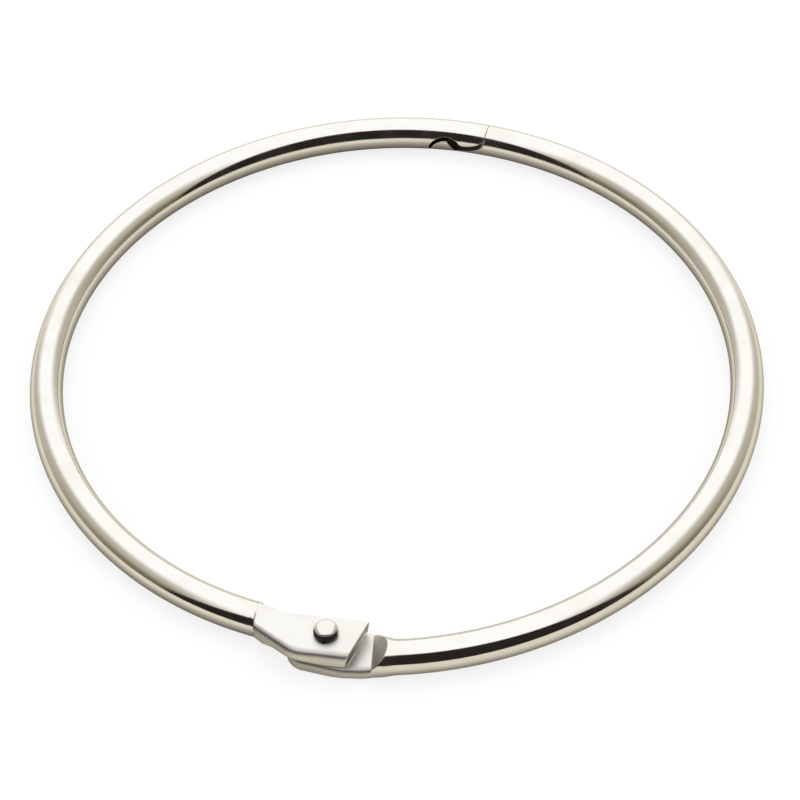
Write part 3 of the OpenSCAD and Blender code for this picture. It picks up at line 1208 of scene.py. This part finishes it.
@dataclass
class HingeRivet:
    """The button-headed rivet, with its countersunk tail."""

    frame: RingFrame
    name: str = "button_rivet"
    node: str = "hinge_rivet"
    body: str = "catch_side"
    slot: str = "rivet"
    sides: int = 128
    head_r: float = 1.375
    head_round: float = 0.7
    head_steps: int = 20
    side_h: float = 0.37
    crown: float = 0.05
    crown_shares: Triple = (0.66, 0.33, 0.0)
    # The head sits this much nearer to the ring's centre than the shank.
    head_shift: float = 0.5
    head_inset: float = 0.03
    head_sink: float = 0.02
    # Painted dark reflection low on the head's side: it ends over a span of height, and sets in over a
    # span outwards, which is counted in shares of the head's radius.
    shade_height_span: Pair = (0.76, 0.14)
    shade_outward_span: Pair = (-0.15, 0.55)
    shank_r: float = 0.9
    tail_r: float = 1.5
    tail_sink: float = 0.05
    tail_h: float = 0.8
    tail_rim: float = 0.02
    tail_edge: float = 0.06

    def profile(self, seat: float) -> list[Pair]:
        """Works out the line that is turned.

        Args:
            seat: Height of the face that the head sits on.

        Returns:
            (radius, height) points from the tail to the head.
        """
        line = [
            (0.0, self.tail_sink),
            (self.tail_r - self.tail_edge, self.tail_sink),
            (self.tail_r - self.tail_rim, self.tail_sink + self.tail_rim),
            (self.tail_r - self.tail_rim / 2, self.tail_sink + self.tail_edge),
            (self.shank_r, self.tail_h),
            (self.shank_r, seat - self.head_sink),
            (self.head_r - self.head_inset, seat - self.head_sink),
        ]
        for turn in np.linspace(0.0, math.pi / 2, self.head_steps):
            rise = self.side_h + self.head_round * math.sin(turn)
            line.append((self.head_r - self.head_round * (1.0 - math.cos(turn)), seat + rise))
        top_r, top = line[-1]
        crown = [(top_r * share, top + self.crown * (1.0 - share**2)) for share in self.crown_shares]
        return line + crown

    def build(self, material: Material) -> Object:
        """Makes the rivet's object, sets its head aside and fixes it to its body.

        Args:
            material: The finish.

        Returns:
            The object.
        """
        seat = 2 * self.frame.wire_r - TOP_STEP
        mesh = lathe(self.name, self.profile(seat), self.frame.hinge, self.sides)
        middle = sum(vert.co.y for vert in mesh.vertices) / len(mesh.vertices)
        # Paints a dark reflection low on the outward side of the head.
        for vert, painted_shade in zip(mesh.vertices, mesh.attributes[RAW_CUT_AND_SHADE].data):
            rise = vert.co.z / MM - seat
            if rise > -TOP_STEP:
                outward = (middle - vert.co.y) / (self.head_r * MM)
                sheltered = 1.0 - ease(rise, *self.shade_height_span)
                painted_shade.value = sheltered * ease(outward, *self.shade_outward_span)
                vert.co.y += self.head_shift * MM
        return dress(link_object(self.name, mesh), material, self.node, self.body)


def lathe(name: str, profile: list[Pair], axis: Vector, sides: int) -> Mesh:
    """Turns a profile about an upright axis.

    Args:
        name: The mesh's name.
        profile: (radius, height) points, from the lower end on the axis to the upper one.
        axis: A point of the axis.
        sides: How many sides the turned shape has.

    Returns:
        A closed mesh in metres.
    """
    shell = Shell(name)
    turns = np.linspace(0.0, math.tau, sides, endpoint=False)
    circle = np.column_stack([np.cos(turns), np.sin(turns), np.zeros(sides)])
    shell.loft([radius * circle + (axis.x, axis.y, height) for radius, height in profile])
    return shell.finish()


def link_object(name: str, mesh: Mesh) -> Object:
    """Puts a mesh into the scene as an object at the origin."""
    obj = bpy.data.objects.new(name, mesh)
    bpy.context.scene.collection.objects.link(obj)
    return obj


def drill(piece: Object, tool_mesh: Mesh) -> None:
    """Takes a closed mesh away from a piece, for good.

    Args:
        piece: The object, whose mesh is replaced.
        tool_mesh: The mesh, which is removed from the file.
    """
    tool = link_object("tool", tool_mesh)
    boolean = piece.modifiers.new("drill", "BOOLEAN")
    boolean.operation = "DIFFERENCE"
    boolean.solver = "EXACT"
    boolean.object = tool
    mesh = baked_mesh(piece)
    piece.modifiers.clear()
    old = piece.data
    piece.data = mesh
    bpy.data.objects.remove(tool)
    for done in (old, tool_mesh):
        bpy.data.meshes.remove(done)


def baked_mesh(obj: Object) -> Mesh:
    """Returns a new mesh with an object's modifiers worked in."""
    bpy.context.view_layer.update()
    graph = bpy.context.evaluated_depsgraph_get()
    return bpy.data.meshes.new_from_object(obj.evaluated_get(graph), depsgraph=graph)


def dress(piece: Object, material: Material, node: str, body: str) -> Object:
    """Shades a piece, gives it its finish and fixes it to its body.

    Args:
        piece: The object.
        material: Its finish.
        node: The CAD node that it stands for.
        body: The body that it moves with.

    Returns:
        The same object.
    """
    mesh = piece.data
    mesh.materials.clear()
    mesh.materials.append(material)
    mesh.polygons.foreach_set("material_index", [0] * len(mesh.polygons))
    mesh.polygons.foreach_set("use_smooth", [True] * len(mesh.polygons))
    mesh.set_sharp_from_angle(angle=SHARP_ANGLE)
    even = piece.modifiers.new("even_shading", "WEIGHTED_NORMAL")
    even.keep_sharp = True
    even.weight = 60
    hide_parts(node)
    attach(piece, body)
    LOG.info("%s: %d faces, rides on %s", piece.name, len(mesh.polygons), body)
    return piece


class NodeBench:
    """Short ways to add and join nodes in one tree."""

    def __init__(self, tree: Tree) -> None:
        """Works on the given tree."""
        self.tree = tree

    def add(self, kind: str, feeds: dict | None = None, **settings: object) -> Node:
        """Adds a node.

        Args:
            kind: The node's type.
            feeds: The socket or the value for each input, by name or number.
            settings: Properties of the node.

        Returns:
            The node.
        """
        node = self.tree.nodes.new(kind)
        for key, value in settings.items():
            setattr(node, key, value)
        self.feed(node, feeds or {})
        return node

    def feed(self, node: Node, feeds: dict) -> None:
        """Joins sockets to a node's inputs, or sets the inputs to plain values.

        Args:
            node: The node.
            feeds: The socket or the value for each input, by name or number.
        """
        for key, source in feeds.items():
            if isinstance(source, Socket):
                self.tree.links.new(source, node.inputs[key])
            else:
                node.inputs[key].default_value = source

    def math(self, operation: str, *values: object, clamp: bool = False) -> Socket:
        """Adds a math node and returns its output."""
        feeds = dict(enumerate(values))
        return self.add("ShaderNodeMath", feeds, operation=operation, use_clamp=clamp).outputs[0]

    def vector(self, operation: str, output: str, first: object, second: object) -> Socket:
        """Adds a vector math node over two vectors and returns one of its outputs."""
        node = self.add("ShaderNodeVectorMath", {0: first, 1: second}, operation=operation)
        return node.outputs[output]

    def ramp(self, value: Socket, low: float, high: float, start: float, end: float) -> Socket:
        """Maps low..high evenly, with soft ends, to start..end."""
        feeds = dict(enumerate((value, low, high, start, end)))
        return self.add("ShaderNodeMapRange", feeds, interpolation_type="SMOOTHSTEP").outputs[0]

    def noise(self, vector: Socket, scale: float, detail: float, roughness: float) -> Socket:
        """Adds a noise texture over a vector and returns its value."""
        feeds = {"Vector": vector, "Scale": scale, "Detail": detail, "Roughness": roughness}
        return self.add("ShaderNodeTexNoise", feeds).outputs["Fac"]

    def blend(self, factor: Socket, first: object, second: object) -> Socket:
        """Mixes two numbers by a factor."""
        feeds = {0: factor, 2: first, 3: second}
        return self.add("ShaderNodeMix", feeds, data_type="FLOAT").outputs[0]

    def mix(self, factor: Socket, first: object, second: object) -> Socket:
        """Mixes two colours by a factor."""
        feeds = {0: factor, 6: first, 7: second}
        return self.add("ShaderNodeMix", feeds, data_type="RGBA").outputs[2]

    def shade(self, factor: object, first: Node, second: Node) -> Node:
        """Mixes two shaders by a factor."""
        feeds = {0: factor, 1: first.outputs[0], 2: second.outputs[0]}
        return self.add("ShaderNodeMixShader", feeds)


class WireSweep:
    """The geometry node tree that sweeps plain wire along a flat bend."""

    INPUTS = (
        ("Centre", "Vector"),
        ("Bend Radius", "Float"),
        ("Wire Radius", "Float"),
        ("Start Angle", "Float"),
        ("Sweep Angle", "Float"),
        ("Rings", "Int"),
        ("Sides", "Int"),
        ("Finish", "Material"),
    )

    def __init__(self, wire_r: float, finish: Material) -> None:
        """Builds the tree for one wire size and finish."""
        self.wire_r = wire_r
        self.finish = finish
        self.tree = bpy.data.node_groups.new("sweep_plain_wire", "GeometryNodeTree")
        face = self.tree.interface
        face.new_socket("Wire", in_out="OUTPUT", socket_type="NodeSocketGeometry")
        self.sockets = {
            name: face.new_socket(name, in_out="INPUT", socket_type="NodeSocket" + kind).identifier
            for name, kind in self.INPUTS
        }
        self._wire_up()

    def _wire_up(self) -> None:
        """Adds the nodes and joins them up.

        One ring too many is swept at each end and then taken off, because an end ring stands
        square to the last chord instead of square to the bend.
        """
        bench = NodeBench(self.tree)
        given = bench.add("NodeGroupInput").outputs
        rings, sides, sweep = given["Rings"], given["Sides"], given["Sweep Angle"]
        step = bench.math("DIVIDE", sweep, bench.math("SUBTRACT", rings, 1.0))
        arc_feeds = {
            "Resolution": bench.math("ADD", rings, 2.0),
            "Radius": given["Bend Radius"],
            "Start Angle": bench.math("SUBTRACT", given["Start Angle"], step),
            "Sweep Angle": bench.math("MULTIPLY_ADD", step, 2.0, sweep),
        }
        arc = bench.add("GeometryNodeCurveArc", arc_feeds, mode="RADIUS").outputs["Curve"]
        circle_feeds = {"Resolution": sides, "Radius": given["Wire Radius"]}
        circle = bench.add("GeometryNodeCurvePrimitiveCircle", circle_feeds).outputs["Curve"]
        tube = bench.add("GeometryNodeCurveToMesh", {"Curve": arc, "Profile Curve": circle})
        index = bench.add("GeometryNodeInputIndex").outputs[0]
        first = bench.math("LESS_THAN", index, bench.math("SUBTRACT", sides, 0.5))
        kept = bench.math("MULTIPLY", sides, bench.math("ADD", rings, 1.0))
        last = bench.math("GREATER_THAN", index, bench.math("SUBTRACT", kept, 0.5))
        wire = tube.outputs["Mesh"]
        for kind, feeds in (
            ("DeleteGeometry", {"Selection": bench.math("ADD", first, last)}),
            ("Transform", {"Translation": given["Centre"]}),
            ("SetShadeSmooth", {}),
            ("RealizeInstances", {}),
            ("SetMaterial", {"Material": given["Finish"]}),
        ):
            node = bench.add("GeometryNode" + kind, {"Geometry": wire, **feeds})
            wire = node.outputs["Geometry"]
        bench.add("NodeGroupOutput", {0: wire})

    def make(self, name: str, bend: Bend, start: float, end: float, rings: int) -> Mesh:
        """Sweeps one bend.

        Args:
            name: Name of the piece that the bend belongs to.
            bend: The bend.
            start: Direction of the first ring, in radians.
            end: Direction of the last ring, in radians.
            rings: How many rings there are.

        Returns:
            The bend as a mesh in metres that is open at both ends.
        """
        centre = (bend.centre + Vector((0.0, 0.0, bend.middle_z))) * MM
        holder = link_object(name + "_bend", bpy.data.meshes.new(name + "_bend"))
        modifier = holder.modifiers.new("sweep", "NODES")
        modifier.node_group = self.tree
        place = (list(centre), bend.radius * MM, self.wire_r * MM, start, end - start)
        for (key, _), value in zip(self.INPUTS, (*place, rings, SIDES, self.finish)):
            modifier[self.sockets[key]] = value
        mesh = baked_mesh(holder)
        empty = holder.data
        bpy.data.objects.remove(holder)
        bpy.data.meshes.remove(empty)
        LOG.info("%s: bend of %d rings, %d faces", name, rings, len(mesh.polygons))
        return mesh


@dataclass(frozen=True)
class PlateGroup:
    """The node group that varies colour, gloss and height over nickel plate."""

    name: str = "nickel_plate"
    inputs: tuple[str, ...] = ("Vector", "Satin", "Raw", "Bright", "Dull", "Raw Color")
    glosses: tuple[str, ...] = ("Gloss", "Dull Gloss", "Satin Gloss")
    # Noises by their scale, detail and roughness, each followed by the ramp that it is read with.
    cloud: Triple = (260.0, 3.0, 0.55)
    cloud_shown: Quad = (0.38, 0.72, 0.0, 1.0)
    grain: Triple = (2600.0, 4.0, 0.6)
    grain_shown: Quad = (0.55, 0.8, 0.0, 0.5)
    grain_height: float = 0.12
    wave: Triple = (420.0, 2.0, 0.5)
    # Thinly torn metal shows streaks, from noise that is drawn out along y. Above a raw value of
    # one over solid_gain it shows none.
    streak: Triple = (5200.0, 2.0, 0.6)
    streak_shown: Quad = (0.3, 0.7, -1.0, 1.0)
    streak_stretch: Triple = (1.0, 0.06, 1.0)
    solid_gain: float = 5.0
    # Metal is fully rough from a raw value of one over raw_gain.
    raw_gain: float = 6.0
    raw_gloss: float = 0.5

    def _sockets(self, tree: Tree) -> None:
        """Gives the group its inputs and outputs."""
        kinds = {"Vector": "Vector", "Bright": "Color", "Dull": "Color", "Raw Color": "Color"}
        for name in self.inputs + self.glosses:
            kind = "NodeSocket" + kinds.get(name, "Float")
            tree.interface.new_socket(name, in_out="INPUT", socket_type=kind)
        for name, kind in (("Color", "Color"), ("Roughness", "Float"), ("Height", "Float")):
            tree.interface.new_socket(name, in_out="OUTPUT", socket_type="NodeSocket" + kind)

    def build(self) -> Tree:
        """Builds the group and returns it."""
        tree = bpy.data.node_groups.new(self.name, "ShaderNodeTree")
        self._sockets(tree)
        bench = NodeBench(tree)
        given = bench.add("NodeGroupInput").outputs
        where, raw_and_shade = given["Vector"], given["Raw"]
        grain = bench.noise(where, *self.grain)
        haze = bench.ramp(bench.noise(where, *self.cloud), *self.cloud_shown)
        wear = bench.math("MAXIMUM", haze, bench.ramp(grain, *self.grain_shown))
        plated = bench.mix(wear, given["Bright"], given["Dull"])
        drawn = bench.vector("MULTIPLY", "Vector", where, self.streak_stretch)
        streak = bench.ramp(bench.noise(drawn, *self.streak), *self.streak_shown)
        # The raw value darkens towards the near-black raw colour, for raw cut metal and for painted
        # shade and painted dark reflections.
        solid = bench.math("MULTIPLY", raw_and_shade, self.solid_gain, clamp=True)
        thin = bench.math("MULTIPLY", raw_and_shade, bench.math("SUBTRACT", 1.0, solid))
        cut = bench.math("MULTIPLY_ADD", thin, streak, raw_and_shade, clamp=True)
        rough = bench.blend(wear, given["Gloss"], given["Dull Gloss"])
        rough = bench.blend(given["Satin"], rough, given["Satin Gloss"])
        torn = bench.math("MULTIPLY", raw_and_shade, self.raw_gain, clamp=True)
        wave = bench.noise(where, *self.wave)
        results = {
            "Color": bench.mix(cut, plated, given["Raw Color"]),
            "Roughness": bench.blend(torn, rough, self.raw_gloss),
            "Height": bench.math("MULTIPLY_ADD", grain, self.grain_height, wave),
        }
        bench.add("NodeGroupOutput", results)
        return tree


@dataclass(frozen=True)
class NickelFinish:
    """Bright nickel plate over drawn wire."""

    name: str
    gloss: float
    dull_gloss: float
    bright: Quad = (0.96, 0.95, 0.925, 1.0)
    dull: Quad = (0.92, 0.90, 0.86, 1.0)
    # Near black: the colour of raw cut metal, and of painted shade and painted dark reflections.
    raw_and_shade: Quad = (0.05, 0.045, 0.04, 1.0)
    ripple: float = 0.2
    ripple_depth: float = 0.02
    # Pressed faces are satin, and those that lie nearly level are duller still.
    satin_gloss: float = 0.16
    flat_gloss: float = 0.42
    level_rise: Pair = (0.9, 0.995)

    def build(self, plate: Tree) -> Material:
        """Makes the material.

        Args:
            plate: The node group that shades the plate.

        Returns:
            The material.
        """
        material = bpy.data.materials.new(self.name)
        material.use_nodes = True
        bench = NodeBench(material.node_tree)
        where = bench.add("ShaderNodeTexCoord").outputs
        upright = bench.add("ShaderNodeSeparateXYZ", {0: where["Normal"]}).outputs["Z"]
        level = bench.ramp(bench.math("ABSOLUTE", upright), *self.level_rise, 0.0, 1.0)
        satin, raw_and_shade = (
            bench.add("ShaderNodeAttribute", attribute_name=name).outputs["Fac"]
            for name in (COINED, RAW_CUT_AND_SHADE)
        )
        feeds = {
            "Vector": where["Object"],
            "Satin": satin,
            "Raw": raw_and_shade,
            "Bright": self.bright,
            "Dull": self.dull,
            "Raw Color": self.raw_and_shade,
            "Gloss": self.gloss,
            "Dull Gloss": self.dull_gloss,
            "Satin Gloss": bench.blend(level, self.satin_gloss, self.flat_gloss),
        }
        skin = bench.add("ShaderNodeGroup", feeds, node_tree=plate).outputs
        depth = self.ripple_depth * MM
        bump = {"Strength": self.ripple, "Distance": depth, "Height": skin["Height"]}
        look = {
            "Metallic": 1.0,
            "Base Color": skin["Color"],
            "Roughness": skin["Roughness"],
            "Normal": bench.add("ShaderNodeBump", bump).outputs["Normal"],
        }
        bench.feed(material.node_tree.nodes["Principled BSDF"], look)
        return material


@dataclass(frozen=True)
class Studio:
    """A white table and a room that only shows in the metal.

    The room is white behind the object, dark on the viewer's side, brown and hazy low down, and
    grey at its side walls.
    """

    ring: Bend
    azimuth: float = math.radians(11.52)
    elevation: float = math.radians(47.15)
    roll: float = math.radians(-2.954)
    distance: float = 345.0
    target: Triple = (1.331, -3.887, 1.9)
    lens: float = 135.2
    sensor: float = 36.0
    clip: Pair = (0.01, 10.0)
    floor_size: float = 1600.0
    floor_white: Quad = (0.97, 0.97, 0.97, 1.0)
    floor_glow: float = 0.78
    # What the metal sees of the floor: cream, with a strip of shade under the wire.
    floor_cream: Quad = (0.63, 0.59, 0.485, 1.0)
    shade_reach: Triple = (0.7, 1.8, 9.0)
    shade_depth: Pair = (0.08, 0.5)
    room_white: Quad = (1.03, 1.025, 1.005, 1.0)
    room_dark: Quad = (0.016, 0.013, 0.010, 1.0)
    dark_from: float = math.cos(math.radians(66.0))
    dark_blur: float = 0.04
    haze_brown: Quad = (0.17, 0.142, 0.096, 1.0)
    haze_top_rise: Pair = (0.22, 0.72)
    haze_rise: Pair = (-0.65, 0.32)
    wall_grey: Quad = (0.50, 0.46, 0.38, 1.0)
    wall_rise: Pair = (0.36, 0.74)
    # The lamp, in metres and watts.
    lamp_size: Pair = (0.5, 0.3)
    lamp_power: float = 1.2
    lamp_behind: float = 0.35
    lamp_height: float = 0.75

    def front(self) -> Vector:
        """Returns the level direction from the object to the camera."""
        return Vector((math.sin(self.azimuth), -math.cos(self.azimuth), 0.0))

    def right(self) -> Vector:
        """Returns the level direction to the camera's right."""
        return Vector((math.cos(self.azimuth), math.sin(self.azimuth), 0.0))

    def add_camera(self) -> None:
        """Adds the camera and makes it the scene's."""
        back = self.front() * math.cos(self.elevation) + Vector((0, 0, math.sin(self.elevation)))
        right = self.right()
        up = back.cross(right)
        rolled_right = math.cos(self.roll) * right + math.sin(self.roll) * up
        rolled_up = math.cos(self.roll) * up - math.sin(self.roll) * right
        data = bpy.data.cameras.new("camera")
        data.lens = self.lens
        data.sensor_width = self.sensor
        data.clip_start, data.clip_end = self.clip
        camera = bpy.data.objects.new("camera", data)
        turn = Matrix((rolled_right, rolled_up, back)).transposed().to_4x4()
        place = Matrix.Translation((Vector(self.target) + back * self.distance) * MM)
        camera.matrix_world = place @ turn
        bpy.context.scene.collection.objects.link(camera)
        bpy.context.scene.camera = camera

    def shaded_floor(self, bench: NodeBench) -> Socket:
        """Returns the floor's colour for all but the camera, darker near the ring."""
        where = bench.add("ShaderNodeTexCoord").outputs["Object"]
        away = bench.vector("DISTANCE", "Value", where, self.ring.centre * MM)
        off_wire = bench.math("ABSOLUTE", bench.math("SUBTRACT", away, self.ring.radius * MM))
        under, beside, clear = (reach * MM for reach in self.shade_reach)
        dark, half = self.shade_depth
        near = bench.ramp(off_wire, under, beside, dark, half)
        lit = bench.math("ADD", near, bench.ramp(off_wire, beside, clear, 0.0, 1.0 - half))
        return bench.mix(lit, (0.0, 0.0, 0.0, 1.0), self.floor_cream)

    def add_floor(self) -> None:
        """Adds the pale table top, which the camera sees as white but for its shadows."""
        size = self.floor_size * MM / 2
        corners = [(-size, -size, 0), (size, -size, 0), (size, size, 0), (-size, size, 0)]
        mesh = bpy.data.meshes.new("floor")
        mesh.from_pydata([Vector(corner) for corner in corners], [], [(0, 1, 2, 3)])
        floor = link_object("floor", mesh)
        material = bpy.data.materials.new("white_table")
        material.use_nodes = True
        material.node_tree.nodes.clear()
        bench = NodeBench(material.node_tree)
        cream = bench.add("ShaderNodeBsdfDiffuse", {"Color": self.shaded_floor(bench)})
        white = bench.add("ShaderNodeBsdfDiffuse", {"Color": self.floor_white})
        glow = bench.add("ShaderNodeEmission", {"Strength": 1.0})
        camera_ray = bench.add("ShaderNodeLightPath").outputs["Is Camera Ray"]
        look = bench.shade(camera_ray, cream, bench.shade(self.floor_glow, white, glow))
        bench.add("ShaderNodeOutputMaterial", {0: look.outputs[0]})
        mesh.materials.append(material)

    def add_room(self) -> None:
        """Adds the room's light: white all round for the table, and patterned in the metal."""
        world = bpy.data.worlds.new("room")
        bpy.context.scene.world = world
        world.use_nodes = True
        world.node_tree.nodes.clear()
        bench = NodeBench(world.node_tree)
        where = bench.add("ShaderNodeTexCoord").outputs["Generated"]
        front = bench.vector("DOT_PRODUCT", "Value", where, self.front())
        aside = bench.vector("DOT_PRODUCT", "Value", where, self.right())
        height = bench.add("ShaderNodeSeparateXYZ", {0: where}).outputs["Z"]
        start, end = self.dark_from - self.dark_blur, self.dark_from + self.dark_blur
        low = bench.ramp(height, *self.haze_top_rise, 1.0, 0.0)
        haze = bench.math("MULTIPLY", low, bench.ramp(front, *self.haze_rise, 0.0, 1.0))
        wall = bench.ramp(bench.math("ABSOLUTE", aside), *self.wall_rise, 0.0, 1.0)
        walled = bench.mix(wall, self.room_white, self.wall_grey)
        hazy = bench.mix(haze, walled, self.haze_brown)
        seen = bench.mix(bench.ramp(front, start, end, 0.0, 1.0), hazy, self.room_dark)
        glossy_ray = bench.add("ShaderNodeLightPath").outputs["Is Glossy Ray"]
        room = bench.mix(glossy_ray, (1.0, 1.0, 1.0, 1.0), seen)
        background = bench.add("ShaderNodeBackground", {"Color": room})
        bench.add("ShaderNodeOutputWorld", {0: background.outputs[0]})

    def add_lamp(self) -> None:
        """Adds a soft lamp high behind the object."""
        data = bpy.data.lights.new("back_softbox", "AREA")
        data.shape = "RECTANGLE"
        data.size, data.size_y = self.lamp_size
        data.energy = self.lamp_power
        lamp = bpy.data.objects.new("back_softbox", data)
        away = -self.front() * self.lamp_behind + Vector((0, 0, self.lamp_height))
        turn = away.to_track_quat("Z", "Y").to_matrix().to_4x4()
        lamp.matrix_world = Matrix.Translation(away) @ turn
        lamp.visible_glossy = False
        bpy.context.scene.collection.objects.link(lamp)

    def build(self) -> None:
        """Sets up everything around the object."""
        bpy.context.scene.view_settings.view_transform = "Standard"
        self.add_camera()
        self.add_floor()
        self.add_room()
        self.add_lamp()


def main() -> None:
    """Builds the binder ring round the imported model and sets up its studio."""
    logging.basicConfig(level=logging.INFO, format="%(name)s: %(message)s", stream=sys.stdout)
    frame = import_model()
    latch = LatchProfile()
    places = RingFrame.from_frame(frame, latch.angle)
    radii = (places.wire_r, places.catch.radius, places.tongue.radius)
    LOG.info("wire radius %.3f, bends %.3f and %.3f", *radii)
    plate = PlateGroup().build()
    wire = NickelFinish("bright_nickel_wire", 0.08, 0.15).build(plate)
    sweep = WireSweep(places.wire_r, wire)
    TongueHalf(places, places.tongue, latch).build(sweep, wire)
    CatchHalf(places, places.catch, latch).build(sweep, wire)
    HingeRivet(places).build(NickelFinish("bright_nickel_rivet", 0.14, 0.24).build(plate))
    Studio(places.catch).build()


if __name__ == "__main__":
    main()
